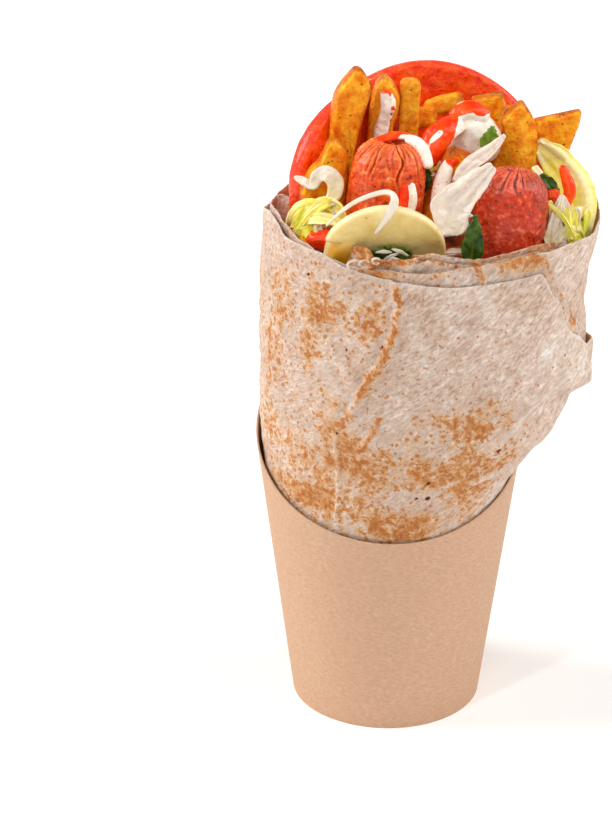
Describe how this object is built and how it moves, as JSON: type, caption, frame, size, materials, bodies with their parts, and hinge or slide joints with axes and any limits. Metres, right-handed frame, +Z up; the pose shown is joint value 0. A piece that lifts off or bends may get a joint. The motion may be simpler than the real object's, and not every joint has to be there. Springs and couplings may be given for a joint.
{
  "type": "sausage flatbread wrap in a paper cup",
  "caption": "Rolled flatbread filled with frankfurters, fried potato, tomato and salad, standing in a slant-cut kraft paper cup.",
  "frame": {"origin": "on the surface that it stands on, under the middle of its bounding box", "axes": "+Z up along the cup, the longest extent; -Y towards the front, where the cup's rim is lowest; +X to the right, where the bread leans out"},
  "size_m": [0.1076, 0.0992, 0.2118],
  "materials": {
    "cabbage": "raw white cabbage",
    "filling": "moist mixed filling in sauce",
    "flatbread": "thin toasted wheat flatbread, pale with brown griddle spots",
    "fried_potato": "golden fried potato",
    "gherkin": "pale yellow pickled cucumber",
    "herb": "dark green herb leaf",
    "ketchup": "thick red sauce",
    "kraft_board": "uncoated brown kraft board",
    "lettuce": "pale green salad leaf",
    "mayonnaise": "thick white sauce",
    "sausage": "fried frankfurter skin, red-brown",
    "tomato": "wet red tomato"
  },
  "bodies": {
    "root": {"cabbage_curl_left": "cabbage", "cabbage_leaf_centre": "cabbage", "cabbage_strand": "cabbage", "cabbage_strip_centre": "cabbage", "filling_core": "filling", "fry_1": "fried_potato", "fry_10": "fried_potato", "fry_11": "fried_potato", "fry_2": "fried_potato", "fry_3": "fried_potato", "fry_4": "fried_potato", "fry_5": "fried_potato", "fry_6": "fried_potato", "fry_7": "fried_potato", "fry_8": "fried_potato", "fry_9": "fried_potato", "gherkin_slice": "gherkin", "herb_front": "herb", "herb_gherkin": "herb", "herb_middle": "herb", "herb_right": "herb", "herb_sauce": "herb", "ketchup_drip": "ketchup", "lavash": "flatbread", "lettuce_leaf_right": "lettuce", "paper_cup": "kraft_board", "salad_left": "lettuce", "salad_right": "lettuce", "sauce_dollop": "mayonnaise", "sausage_left": "sausage", "sausage_right": "sausage", "tomato_back": "tomato", "tomato_bit": "tomato", "tomato_front": "tomato", "tomato_left": "tomato"}
  },
  "joints": []
}
